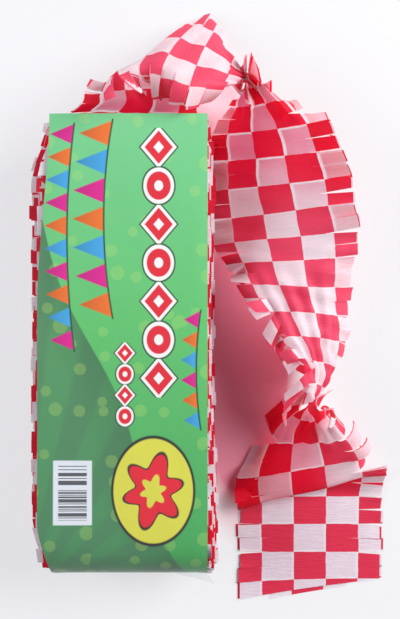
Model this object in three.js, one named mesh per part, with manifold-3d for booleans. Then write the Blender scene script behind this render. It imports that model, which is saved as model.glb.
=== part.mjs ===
// Pack of chequered crepe paper garland, lying on its back with the free end drawn out.
// Millimetres, Z up. The origin is the middle of the flat underside of the pack.
// X runs across the pack, Y along it towards the end that the strip leaves from.
import * as THREE from 'three';
import Module from 'manifold-3d';

// Overall sizes.
const packLength = 254;
const wrapperWidth = 93;
const packHeight = 45.5;

// Strip: real width, length of one printed check, fringe.
const stripWidth = wrapperWidth - 4;
const checkLength = 16.8;
const fringeDepth = 20;
const fringePitch = checkLength / 2;
const slitOpening = 1.5;
const stripThickness = 0.8;

// Wrapper film, with the air that keeps it off the paper.
const filmThickness = 0.3;
const filmAir = 0.5;
const filmSetBack = 9;

// Folded stack: bundles of layers, each a little out of line with the next.
const bundleCount = 5;
const bundleShift = [-1.5, 2.5, 1.0, -2.5, -1.0];
const bundleEndTrim = [8, 0.5, 0, 1.5, 11];
const foldEndTrim = [3, 1, 2.5, 0.5, 1.5];

// The free end was measured beside a pack of these sizes, and follows the pack when it grows.
const measuredWidth = 93;
const measuredLength = 254;
const measuredHeight = 45.5;

// Stations of the free end: near edge, middle, far edge and running number of the check there.
// The near edge is the one that stays on the pack's side until the waist.
const stations = [
  [[-44, 100, 34], [0, 100, 35], [44, 100, 35], -12.1],
  [[-41, 119, 35], [0, 120, 36], [44, 120, 34], -10.9],
  [[-22, 131, 45], [10, 132, 43], [42, 135, 24], -9.6],
  [[-18, 134.5, 53], [10, 139.5, 45], [43.5, 150, 9], -9.05],
  [[-11.5, 139, 60], [10, 148, 46], [44, 166, 4], -8.4],
  [[-1, 142, 64], [12.5, 156, 45], [43.5, 181, 2.5], -7.8],
  [[9, 142, 66], [17, 162, 43], [43, 192, 2], -7.1],
  [[17.5, 139, 66], [25, 165.5, 42], [45, 198, 2], -6.35],
  [[26.5, 135, 65], [35, 163, 42], [50, 198, 2], -5.6],
  [[37, 131.5, 62], [44, 160.5, 40], [56, 193, 3], -5],
  [[47, 132.5, 55], [52.5, 157.5, 37], [61, 184, 6], -4.45],
  [[55.5, 137, 45], [60.5, 154, 34], [66, 170, 14], -3.95],
  [[64, 142.5, 35], [66.5, 151, 31], [70, 160, 24], -3.4],
  [[68.5, 145, 24], [71, 149, 31], [74, 152.5, 37], -2.8],
  [[66.5, 143.5, 17], [74, 142.5, 31], [83.5, 145.5, 44], -1.8],
  [[59, 139, 11], [76.5, 135.5, 29], [95.5, 135.5, 47], -0.95],
  [[54, 127, 7], [80, 124.5, 26], [110.5, 125, 47], -0.15],
  [[53, 109.5, 5], [83.5, 108, 25], [119, 108, 46], 0.95],
  [[52.5, 90, 4], [86, 90.5, 25], [125, 91.5, 46], 2.05],
  [[53, 73.5, 5], [89, 75.5, 26], [126, 78.5, 46], 3],
  [[54, 58.5, 9], [91.5, 60.5, 30], [129, 63.5, 45], 4],
  [[57, 47.5, 17], [93, 46.5, 36], [130.5, 49, 40], 5.05],
  [[64, 34.5, 27], [95.5, 33, 39], [132, 31.5, 28], 6],
  [[72.5, 18.5, 33], [101, 18.5, 37], [133, 15, 17], 7],
  [[82, 3, 39], [106, 4, 36], [134.5, -2.5, 8], 8.05],
  [[92.5, -10, 46], [111, -10, 33], [130, -19.5, 3], 9.05],
  [[99, -20, 53], [110, -22.5, 31], [123, -30, 2], 10],
  [[103, -28, 57], [107, -33, 30], [113, -37, 2], 11],
  [[112, -37.5, 52], [105.5, -41.5, 26], [98, -41, 3], 11.8],
  [[124, -44.5, 42], [104.5, -50.5, 22], [84, -49, 4], 12.5],
  [[138.5, -54, 29], [105, -60, 18], [73.5, -63, 3], 13.15],
  [[148.5, -64, 17], [106, -72, 15], [65.5, -80, 6], 13.9],
  [[154.5, -75, 7], [108.5, -88, 8.5], [66, -97.5, 8.5], 14.8],
  [[154.5, -82.5, 3.5], [109.5, -80.5, 4.8], [66, -88.5, 4.8], 15.3],
  [[153.5, -90, 1.2], [109.5, -89, 1.4], [66.5, -91.5, 1.4], 15.75],
  [[152.5, -99.5, 0.7], [109.5, -99.5, 0.7], [67, -100.5, 0.7], 16.4],
  [[152, -126.5, 0.7], [109.5, -126.5, 0.7], [67.5, -126.5, 0.7], 18],
  [[151.5, -153.5, 0.7], [109.5, -154.5, 0.7], [67.5, -158, 0.7], 19.7],
];

// Checks between which the strip is open to the air, and so carries its fringe slits.
const firstSlit = -9.5;
const lastSlit = 19.5;
const tightFoldStart = 14;
const tightFoldEnd = 16.5;

const wasm = await Module();
wasm.setup();

// One coordinate of a smooth curve through four neighbouring values.
function smoothValue(before, start, end, after, t) {
  const linear = (end - before) * t;
  const square = (2 * before - 5 * start + 4 * end - after) * t * t;
  const cube = (3 * start - before - 3 * end + after) * t * t * t;
  return 0.5 * (2 * start + linear + square + cube);
}

// Station data with the pack's present sizes applied.
function placedPoint(point) {
  const x = point[0] * (wrapperWidth / measuredWidth);
  const y = point[1] * (packLength / measuredLength);
  const z = point[2] * (packHeight / measuredHeight);
  return [x, y, Math.max(z, stripThickness * 0.75)];
}

const route = stations.map((station) => ({
  near: placedPoint(station[0]),
  middle: placedPoint(station[1]),
  far: placedPoint(station[2]),
  check: station[3],
}));

function routeIndex(index) {
  return Math.min(Math.max(index, 0), route.length - 1);
}

// Segment and position in it where the running check number is reached.
function findCheck(check) {
  let segment = 0;
  while (segment < route.length - 2 && route[segment + 1].check <= check) {
    segment += 1;
  }
  let low = 0;
  let high = 1;
  for (let step = 0; step < 24; step += 1) {
    const t = (low + high) / 2;
    const here = smoothValue(
      route[routeIndex(segment - 1)].check,
      route[segment].check,
      route[segment + 1].check,
      route[routeIndex(segment + 2)].check,
      t,
    );
    if (here < check) {
      low = t;
    } else {
      high = t;
    }
  }
  return [segment, (low + high) / 2];
}

function curvePoint(key, segment, t) {
  const before = route[routeIndex(segment - 1)][key];
  const start = route[segment][key];
  const end = route[segment + 1][key];
  const after = route[routeIndex(segment + 2)][key];
  return [0, 1, 2].map((axis) => smoothValue(before[axis], start[axis], end[axis], after[axis], t));
}

// Point of the strip's middle surface. Across runs from 0 at the near edge to 1 at the far one.
function stripPoint(check, across) {
  const [segment, t] = findCheck(check);
  const near = curvePoint('near', segment, t);
  const middle = curvePoint('middle', segment, t);
  const far = curvePoint('far', segment, t);
  const nearShare = (1 - across) * (1 - 2 * across);
  const middleShare = 4 * across * (1 - across);
  const farShare = across * (2 * across - 1);
  const axes = [0, 1, 2];
  return new THREE.Vector3(
    ...axes.map((axis) => near[axis] * nearShare + middle[axis] * middleShare + far[axis] * farShare),
  );
}

function stripNormal(check, across) {
  const alongStep = 0.02;
  const acrossStep = 0.01;
  const ahead = stripPoint(check + alongStep, across);
  const behind = stripPoint(check - alongStep, across);
  const left = stripPoint(check, across - acrossStep);
  const right = stripPoint(check, across + acrossStep);
  const along = ahead.sub(behind);
  const over = right.sub(left);
  return along.cross(over).normalize();
}

// Closed solid from a net of four-sided cells. Every node has a point on each of two skins,
// and a wall closes the solid wherever a cell has no neighbour.
function solidFromCells(cells, topPoint, basePoint) {
  const positions = [];
  const numbers = new Map();
  const triangles = [];
  function vertexOf(node, side) {
    const key = `${node.key}/${side}`;
    if (!numbers.has(key)) {
      numbers.set(key, positions.length / 3);
      const point = side === 'top' ? topPoint(node) : basePoint(node);
      positions.push(point.x, point.y, point.z);
    }
    return numbers.get(key);
  }
  const used = new Set();
  for (const cell of cells) {
    cell.forEach((node, index) => {
      used.add(`${node.key}>${cell[(index + 1) % 4].key}`);
    });
  }
  for (const cell of cells) {
    const top = cell.map((node) => vertexOf(node, 'top'));
    const base = cell.map((node) => vertexOf(node, 'base'));
    triangles.push(top[0], top[1], top[2], top[0], top[2], top[3]);
    triangles.push(base[0], base[2], base[1], base[0], base[3], base[2]);
    cell.forEach((node, index) => {
      const next = (index + 1) % 4;
      if (!used.has(`${cell[next].key}>${node.key}`)) {
        triangles.push(top[index], base[index], base[next], top[index], base[next], top[next]);
      }
    });
  }
  const mesh = new wasm.Mesh({
    numProp: 3,
    vertProperties: new Float32Array(positions),
    triVerts: new Uint32Array(triangles),
  });
  return new wasm.Manifold(mesh);
}

// Net with fringe slits: bands of the run between two slits, columns over the width.
// A column's opening is the gap that the slits have there, and is nought in the middle.
function fringedCells(bandEdges, columns, stepsInBand) {
  const cells = [];
  for (let band = 0; band < bandEdges.length - 1; band += 1) {
    const start = bandEdges[band];
    const end = bandEdges[band + 1];
    const steps = stepsInBand(start, end);
    for (let step = 0; step < steps; step += 1) {
      for (let column = 0; column < columns.length - 1; column += 1) {
        const node = (at, index) => {
          const from = start + columns[index].opening / 2;
          const to = end - columns[index].opening / 2;
          const run = from + ((to - from) * at) / steps;
          return { run, across: columns[index].across, key: `${run.toFixed(4)}:${index}` };
        };
        const corners = [node(step, column), node(step, column + 1)];
        corners.push(node(step + 1, column + 1), node(step + 1, column));
        cells.push(corners.reverse());
      }
    }
  }
  return cells;
}

// Free end.
function buildFreeEnd() {
  const fringeShare = fringeDepth / stripWidth;
  const tipOpening = slitOpening / checkLength;
  const columns = [
    { across: 0, opening: tipOpening },
    { across: fringeShare / 2, opening: tipOpening / 2 },
    { across: fringeShare, opening: 0 },
    { across: (fringeShare + 0.5) / 2, opening: 0 },
    { across: 0.5, opening: 0 },
    { across: 1 - (fringeShare + 0.5) / 2, opening: 0 },
    { across: 1 - fringeShare, opening: 0 },
    { across: 1 - fringeShare / 2, opening: tipOpening / 2 },
    { across: 1, opening: tipOpening },
  ];
  const pitch = fringePitch / checkLength;
  const edges = [];
  for (let check = firstSlit; check <= lastSlit + 0.01; check += pitch) {
    edges.push(check);
  }
  const outside = fringedCells(edges, columns, (start, end) => {
    if (end > tightFoldStart && start < tightFoldEnd) {
      return 4;
    }
    return start < -3 ? 2 : 1;
  });
  const rootColumns = columns.map((column) => ({ across: column.across, opening: 0 }));
  const root = fringedCells([-12, -11.2, -10.6, -10.2, -9.86, firstSlit], rootColumns, () => 1);
  const tipGap = (index) => columns[index].opening / 2;
  const joined = root.map((cell) => cell.map((node) => {
    const index = Number(node.key.split(':')[1]);
    if (Math.abs(node.run - firstSlit) > 0.001) {
      return node;
    }
    const run = firstSlit + tipGap(index);
    return { run, across: node.across, key: `${run.toFixed(4)}:${index}` };
  }));
  const offset = (side) => (node) => {
    const normal = stripNormal(node.run, node.across);
    const point = stripPoint(node.run, node.across);
    return point.addScaledVector(normal, (side * stripThickness) / 2);
  };
  return solidFromCells([...joined, ...outside], offset(1), offset(-1));
}

// Folded stack, a bundle at a time. Bundle ends are rounded like the folds in them.
function buildStack() {
  const stackBase = filmThickness + filmAir;
  const stackTop = packHeight - filmThickness - 3 * filmAir;
  const rise = (stackTop - stackBase) / bundleCount;
  const bite = 0.1;
  let stack = null;
  for (let index = 0; index < bundleCount; index += 1) {
    const shift = bundleShift[index];
    const halfWidth = stripWidth / 2 + 3.5;
    const root = halfWidth - fringeDepth;
    const columns = [
      { across: shift - halfWidth, opening: slitOpening },
      { across: shift - root, opening: 0 },
      { across: shift + root, opening: 0 },
      { across: shift + halfWidth, opening: slitOpening },
    ];
    const lower = stackBase + rise * index - (index > 0 ? bite : 0);
    const upper = stackBase + rise * (index + 1) + (index < bundleCount - 1 ? bite : 0);
    const middle = (lower + upper) / 2;
    const half = (upper - lower) / 2;
    const start = -packLength / 2 + bundleEndTrim[index];
    const end = packLength / 2 - foldEndTrim[index];
    const edges = [start, start + half * 0.12, start + half * 0.45, start + half];
    const firstCut = start + half + fringePitch * (0.4 + 0.13 * index);
    for (let run = firstCut; run < end - half - 2; run += fringePitch) {
      edges.push(run);
    }
    edges.push(end - half, end - half * 0.45, end - half * 0.12, end);
    const thick = (run) => {
      const inFromEnd = Math.min(run - start, end - run) / half;
      const drop = Math.max(0, 1 - inFromEnd);
      return half * Math.max(0.3, Math.sqrt(Math.max(0, 1 - drop * drop)));
    };
    const cells = endAwareCells(edges, columns, start + half, end - half);
    const top = (node) => new THREE.Vector3(node.across, node.run, middle + thick(node.run));
    const base = (node) => new THREE.Vector3(node.across, node.run, middle - thick(node.run));
    const bundle = solidFromCells(cells, base, top);
    stack = stack === null ? bundle : stack.add(bundle);
  }
  return stack;
}

// Bundle net: no slits in the rounded ends.
function endAwareCells(edges, columns, firstOpen, lastOpen) {
  const cells = [];
  for (let band = 0; band < edges.length - 1; band += 1) {
    for (let column = 0; column < columns.length - 1; column += 1) {
      const node = (edge, index, direction) => {
        const inside = edges[edge] > firstOpen + 0.01 && edges[edge] < lastOpen - 0.01;
        const opening = inside ? columns[index].opening / 2 : 0;
        const run = edges[edge] + direction * opening;
        return { run, across: columns[index].across, key: `${run.toFixed(4)}:${index}` };
      };
      const corners = [node(band, column, 1), node(band, column + 1, 1)];
      corners.push(node(band + 1, column + 1, -1), node(band + 1, column, -1));
      cells.push(corners.reverse());
    }
  }
  return cells;
}

// Wrapper film: over the front, round the near end and back underneath, open at both sides.
function buildWrapper() {
  const frontZ = packHeight - filmThickness / 2;
  const backZ = filmThickness / 2;
  const mouthY = packLength / 2;
  const endY = -packLength / 2;
  const bendHeight = packHeight / measuredHeight;
  const profile = [
    [mouthY, frontZ - 0.3],
    [mouthY - 20, frontZ],
    [mouthY - 62, frontZ],
    [mouthY - 104, frontZ],
    [mouthY - 146, frontZ],
    [mouthY - 188, frontZ],
    [endY + 20, frontZ],
    [endY + 10, frontZ - 1.6 * bendHeight],
    [endY + 3.5, frontZ - 5.8 * bendHeight],
    [endY - 0.5, frontZ - 11.8 * bendHeight],
    [endY - 2, frontZ - 19.5 * bendHeight],
    [endY - 2, backZ + 16 * bendHeight],
    [endY - 1, backZ + 8 * bendHeight],
    [endY + 2, backZ + 3.2 * bendHeight],
    [endY + 7, backZ + 0.75 * bendHeight],
    [endY + 13, backZ],
    [endY + 60, backZ],
    [endY + 120, backZ],
    [endY + 180, backZ],
    [mouthY - filmSetBack, backZ],
  ];
  const half = wrapperWidth / 2;
  const leftEdge = [6, 4.2, 2, 0.4, 0, 0, 0, 1, 2.2, 3, 3, 2.5, 2, 1.5, 1, 1, 1, 1, 1, 1];
  const shares = [0, 0.17, 0.34, 0.5, 0.66, 0.83, 1];
  const cells = [];
  const node = (row, column) => ({ row, column, key: `${row}:${column}` });
  for (let row = 0; row < profile.length - 1; row += 1) {
    for (let column = 0; column < shares.length - 1; column += 1) {
      cells.push([node(row, column), node(row + 1, column), node(row + 1, column + 1), node(row, column + 1)]);
    }
  }
  const place = (side) => (at) => {
    const before = profile[Math.max(at.row - 1, 0)];
    const after = profile[Math.min(at.row + 1, profile.length - 1)];
    const here = profile[at.row];
    const alongY = after[0] - before[0];
    const alongZ = after[1] - before[1];
    const length = Math.hypot(alongY, alongZ);
    const normalY = alongZ / length;
    const normalZ = -alongY / length;
    const left = -half + leftEdge[at.row];
    const x = left + (half - left) * shares[at.column];
    const shiftBy = (side * filmThickness) / 2;
    return new THREE.Vector3(x, here[0] + normalY * shiftBy, here[1] + normalZ * shiftBy);
  };
  const sheet = solidFromCells(cells, place(1), place(-1));
  return sheet.add(buildFilmCorner(endY, half));
}

// Loose clear corner of the film that stands out past the near end.
function buildFilmCorner(endY, half) {
  const lift = packHeight * 0.62;
  const outline = [
    [half - 20, endY - 1, lift],
    [half - 0.6, endY - 1, lift],
    [half + 5.5, endY - 9.5, lift - 1],
    [half - 12, endY - 5, lift - 0.5],
  ];
  const cell = outline.map((point, index) => ({ point, key: `corner${index}` }));
  const shifted = (by) => (node) => new THREE.Vector3(node.point[0], node.point[1], node.point[2] + by);
  return solidFromCells([cell.reverse()], shifted(filmThickness / 2), shifted(-filmThickness / 2));
}

function toMesh(solid, name, material) {
  const data = solid.getMesh();
  const count = data.vertProperties.length / data.numProp;
  const positions = new Float32Array(count * 3);
  for (let index = 0; index < count; index += 1) {
    positions[index * 3] = data.vertProperties[index * data.numProp];
    positions[index * 3 + 1] = data.vertProperties[index * data.numProp + 1];
    positions[index * 3 + 2] = data.vertProperties[index * data.numProp + 2];
  }
  const geometry = new THREE.BufferGeometry();
  geometry.setAttribute('position', new THREE.BufferAttribute(positions, 3));
  geometry.setIndex(Array.from(data.triVerts));
  geometry.computeVertexNormals();
  const mesh = new THREE.Mesh(geometry, material);
  mesh.name = name;
  return mesh;
}

const crepePaper = new THREE.MeshStandardMaterial({ color: 0xe23a55, roughness: 0.95, metalness: 0 });
crepePaper.name = 'crepe_paper';
const printedFilm = new THREE.MeshStandardMaterial({ color: 0x62bd74, roughness: 0.25, metalness: 0 });
printedFilm.name = 'printed_film';

const garland = buildStack().add(buildFreeEnd());
const wrapper = buildWrapper();

const part = new THREE.Group();
part.name = 'crepe_garland_pack';
part.add(toMesh(garland, 'crepe_garland', crepePaper));
part.add(toMesh(wrapper, 'printed_wrapper', printedFilm));

export default part;
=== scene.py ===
import math
import random

import bpy
import numpy as np
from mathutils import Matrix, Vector


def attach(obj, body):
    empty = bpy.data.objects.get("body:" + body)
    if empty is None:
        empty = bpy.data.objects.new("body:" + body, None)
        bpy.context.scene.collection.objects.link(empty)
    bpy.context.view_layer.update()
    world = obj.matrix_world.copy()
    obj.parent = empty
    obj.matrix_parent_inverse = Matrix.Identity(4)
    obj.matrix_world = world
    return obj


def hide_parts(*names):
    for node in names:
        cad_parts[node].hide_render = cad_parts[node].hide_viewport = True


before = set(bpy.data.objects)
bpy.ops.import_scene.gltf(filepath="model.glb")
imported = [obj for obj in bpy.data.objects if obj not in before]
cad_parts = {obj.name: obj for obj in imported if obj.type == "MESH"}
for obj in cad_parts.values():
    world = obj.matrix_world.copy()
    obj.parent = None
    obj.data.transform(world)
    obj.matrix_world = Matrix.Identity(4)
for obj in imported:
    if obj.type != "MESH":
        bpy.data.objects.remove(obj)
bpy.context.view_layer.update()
print("frame loaded")


class Field:
    # wraps one socket, so that sums on it add their nodes
    def __init__(self, finish, socket):
        self.finish = finish
        self.socket = socket

    def maths(self, operation, *others, clamp=False):
        settings = {"operation": operation, "use_clamp": clamp}
        return self.finish.field("ShaderNodeMath", settings, dict(enumerate((self,) + others)))

    def flipped(self, operation, other):
        return self.finish.field("ShaderNodeMath", {"operation": operation}, {0: other, 1: self})

    def __add__(self, other):
        return self.maths("ADD", other)

    __radd__ = __add__

    def __sub__(self, other):
        return self.maths("SUBTRACT", other)

    def __rsub__(self, other):
        return self.flipped("SUBTRACT", other)

    def __mul__(self, other):
        return self.maths("MULTIPLY", other)

    __rmul__ = __mul__

    def __truediv__(self, other):
        return self.maths("DIVIDE", other)

    def __rtruediv__(self, other):
        return self.flipped("DIVIDE", other)

    def __gt__(self, other):
        return self.maths("GREATER_THAN", other)

    def __lt__(self, other):
        return self.maths("LESS_THAN", other)

    def __abs__(self):
        return self.maths("ABSOLUTE")

    def __mod__(self, other):
        return self.maths("FLOORED_MODULO", other)

    def floor(self):
        return self.maths("FLOOR")

    def sin(self):
        return self.maths("SINE")

    def most(self, other):
        return self.maths("MAXIMUM", other)

    def held(self):
        return self.maths("ADD", 0.0, clamp=True)

    def inside(self, limit, soft):
        # 1 below the limit, 0 above it, with an edge that is soft over the given width
        return ((limit - self) / soft + 0.5).held()


class Finish:
    # one material or world and the nodes in it
    def __init__(self, name, kind="materials"):
        self.made = getattr(bpy.data, kind).new(name)
        self.made.use_nodes = True
        self.tree = self.made.node_tree
        self.tree.nodes.clear()

    def node(self, kind, settings=None, values=None):
        made = self.tree.nodes.new(kind)
        for key, value in (settings or {}).items():
            if key == "stops":
                while len(made.color_ramp.elements) < len(value):
                    made.color_ramp.elements.new(0.5)
                for element, (place, colour) in zip(made.color_ramp.elements, value):
                    element.position = place
                    element.color = (*colour, 1)
            else:
                setattr(made, key, value)
        for key, value in (values or {}).items():
            if isinstance(value, Field):
                self.tree.links.new(value.socket, made.inputs[key])
            else:
                made.inputs[key].default_value = value
        return made

    def field(self, kind, settings=None, values=None, output=0):
        return Field(self, self.node(kind, settings, values).outputs[output])

    def mix(self, share, first, second, blend="MIX"):
        colours = [value if isinstance(value, Field) else (*value, 1) for value in (first, second)]
        settings = {"data_type": "RGBA", "blend_type": blend}
        return self.field("ShaderNodeMix", settings, {0: share, 6: colours[0], 7: colours[1]}, output=2)

    def place(self, x, y, z=0.0):
        return self.field("ShaderNodeCombineXYZ", None, {0: x, 1: y, 2: z})

    def parts(self, vector):
        split = self.node("ShaderNodeSeparateXYZ", None, {0: vector})
        return Field(self, split.outputs[0]), Field(self, split.outputs[1])

    def uv(self, name):
        return self.parts(self.field("ShaderNodeUVMap", {"uv_map": name}))

    def noise(self, vector, scale, detail=2.0, rough=0.5):
        values = {"Vector": vector, "Scale": scale, "Detail": detail, "Roughness": rough}
        return self.field("ShaderNodeTexNoise", {"noise_dimensions": "3D"}, values)

    def grain(self, x, y, settings):
        # noise lengths to a unit of x and of y, place in the noise, then its scale, detail and roughness
        onX, onY, z, *rest = settings
        return self.noise(self.place(x * onX, y * onY, z), *rest)

    def bump(self, height, strength, depth):
        return self.field("ShaderNodeBump", None, {"Strength": strength, "Distance": depth, "Height": height})

    def blend(self, share, first, then):
        # two shaders, the second over the first by the share
        return self.field("ShaderNodeMixShader", None, {0: share, 1: first, 2: then})

    def finishWith(self, shader, kind="Material"):
        self.node("ShaderNodeOutput" + kind, None, {"Surface": shader})
        return self.made


def tint(red, green, blue):
    # colour as a screen shows it, 0 to 255, to the values that a node takes
    def straight(value):
        value /= 255
        return value / 12.92 if value <= 0.04045 else ((value + 0.055) / 1.055) ** 2.4

    return (straight(red), straight(green), straight(blue))


def makePiece(name, points, faces, maps, material):
    mesh = bpy.data.meshes.new(name)
    mesh.from_pydata([tuple(float(v) for v in p) for p in points], [], faces)
    corners = np.empty(len(mesh.loops), dtype=np.int32)
    mesh.loops.foreach_get("vertex_index", corners)
    for mapName, values in maps.items():
        layer = mesh.uv_layers.new(name=mapName)
        flat = np.asarray(values, dtype=np.float32)[corners].ravel()
        layer.data.foreach_set("uv", flat)
    mesh.polygons.foreach_set("use_smooth", [True] * len(mesh.polygons))
    mesh.materials.append(material)
    mesh.update()
    piece = bpy.data.objects.new(name, mesh)
    bpy.context.collection.objects.link(piece)
    return piece


def addCells(faces, rows, turned=False):
    for first, then in zip(rows, rows[1:]):
        for k in range(len(first) - 1):
            cell = (first[k], first[k + 1], then[k + 1], then[k])
            faces.append(cell[::-1] if turned else cell)


def neighbours(values, i):
    last = len(values) - 1
    return [values[min(max(i + k, 0), last)] for k in (-1, 0, 1, 2)]


def unit(vectors):
    return vectors / np.maximum(np.linalg.norm(vectors, axis=-1, keepdims=True), 1e-9)


def ease(value, start, end):
    t = min(max((value - start) / (end - start), 0.0), 1.0)
    return t * t * (3 - 2 * t)


crepe = {
    "width": 0.089,
    "checkLength": 0.0168,
    "checkWidth": 0.0204,
    "firstLine": 0.0135,  # first printed line in from the near edge
    "fringe": 0.020,
    "red": tint(230, 20, 58),
    "paintedLitRed": tint(242, 90, 126),  # painted highlight: paler red where the plies hang apart, standing in for full light on those parts
    "white": tint(252, 246, 254),
    "whiteOverRed": tint(246, 226, 243),  # how the ply behind shows in front light
    "glowWhite": (0.97, 0.88, 0.93, 1),
    "glowPink": (0.95, 0.11, 0.24, 1),
    "glowRed": (0.93, 0.010, 0.05, 1),
    "through": 0.56,  # share of light that goes through a ply
    "throughLost": 0.20,  # and how much less where the plies hang apart and the red is painted paler
    "grains": {
        "wander": (1.3, 1.3, 0.4, 2.2, 2.0, 0.5),
        "ragged": (9.0, 5.0, 1.7, 6.0, 1.0, 0.5),
        "threads": (1.6, 46.0, 0.0, 1.0, 3.0, 0.6),
        "ridges": (1.7, 13.0, 5.0, 1.0, 2.0, 0.55),
        "blotch": (1.4, 1.1, 8.0, 1.7, 3.0, 0.5),
        "mottle": (9.0, 11.0, 3.0, 1.6, 2.0, 0.5),
    },
    "printWander": (0.03, 0.04),  # how far the print strays across and along, in checks
    "printRagged": 0.016,
    "printSharp": 22.0,
    "behindSharp": 7.0,  # the ply behind shows softer, and short of its lines by this share of a check
    "behindShort": 0.022,
    # how far the ply behind lies off, in checks: at check 0, the change with each check, and the least
    "slipAcross": (0.085, -0.005, 0.04),
    "slipAlong": (0.055, -0.006, -0.05),
    "slipFrom": -2.0,  # before this check the slip stays as it is there
    "shade": (0.18, 0.14, 0.12, 0.14),  # how far threads, ridges, blotch and mottle change the colour
    "redShade": (0.6, 0.98),  # swing and level of the colour's red
    "otherShade": (1.3, 0.96),  # and of its green and blue
    "relief": (0.5, 0.6, 0.2),  # how high threads, ridges and mottle stand
    "roughness": (0.52, 0.16),  # level, and how far the threads swing it
    "specular": 0.3,
    "bump": (0.5, 0.0008),  # strength and depth
}


def radius(x, y):
    return (x * x + y * y).maths("SQRT")


def printMask(u, v, short, sharp):
    # 1 on the printed checks, 0 between them, with the checks a little short of their lines
    over, onward = (u * math.pi).sin() * sharp, (v * math.pi).sin() * sharp
    edge = 0.5 - short * math.pi * sharp
    both = (over + edge).held() * (onward + edge).held()
    neither = (edge - over).held() * (edge - onward).held()
    return (both + neither).held()


def makeCrepe(name, second, paired):
    f = Finish(name)
    across, along = f.uv("strip")
    openAir, _ = f.uv("air")
    apart, paler = f.uv("plies")
    # creping runs across the strip: threads is fine, ridges is what the camera still sees
    wander, ragged, threads, ridges, blotch, mottle = [
        f.grain(across, along, grain) for grain in crepe["grains"].values()
    ]
    u = across + (wander - 0.5) * crepe["printWander"][0] + (ragged - 0.5) * crepe["printRagged"]
    v = along + (wander - 0.5) * crepe["printWander"][1] + (ragged - 0.5) * crepe["printRagged"]
    if second or paired:
        late = along.most(crepe["slipFrom"])
        slipU, slipV = [
            (late * change + start).most(least)
            for start, change, least in (crepe["slipAcross"], crepe["slipAlong"])
        ]
        # one check on, since the second ply is white where the first is red
        behind = (u - slipU + 1.0, v - slipV)
    own = printMask(*(behind if second else (u, v)), 0.0, crepe["printSharp"])
    pale = crepe["white"]
    if paired:
        other = printMask(*behind, crepe["behindShort"], crepe["behindSharp"]) * (1.0 - apart)
        pale = f.mix(other, crepe["white"], crepe["whiteOverRed"])
    # the red turns paler where the plies hang apart: a painted highlight for the parts that face the light
    front = f.mix(own, pale, f.mix(paler, crepe["red"], crepe["paintedLitRed"]))
    shades = [(grain - 0.5) * much for grain, much in zip((threads, ridges, blotch, mottle), crepe["shade"])]
    shade = sum(shades[1:], start=shades[0])
    forChannels = (crepe["redShade"], crepe["otherShade"], crepe["otherShade"])
    levels = [shade * swing + level for swing, level in forChannels]
    front = f.mix(1.0, front, f.field("ShaderNodeCombineColor", None, dict(enumerate(levels))), "MULTIPLY")
    height = threads * crepe["relief"][0] + ridges * crepe["relief"][1] + mottle * crepe["relief"][2]
    bump = f.bump(height, *crepe["bump"])
    paper = f.field("ShaderNodeBsdfPrincipled", None, {
        "Base Color": front,
        "Roughness": crepe["roughness"][0] + (threads - 0.5) * crepe["roughness"][1],
        "Normal": bump,
        "Specular IOR Level": crepe["specular"],
    })

    def glow(colour):
        return f.field("ShaderNodeBsdfTranslucent", None, {"Color": crepe[colour], "Normal": bump})

    through = glow("glowWhite")
    if paired:
        through = f.blend(other, through, glow("glowPink"))
    through = f.blend(own, through, glow("glowRed"))
    share = openAir * (crepe["through"] - paler * crepe["throughLost"])
    return f.finishWith(f.blend(share, paper, through))


crepePaired = makeCrepe("crepe_two_plies", False, True)
crepeSecond = makeCrepe("crepe_second_ply", True, False)
crepeFolded = makeCrepe("crepe_folded", False, False)
print("crepe finishes made")

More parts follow.
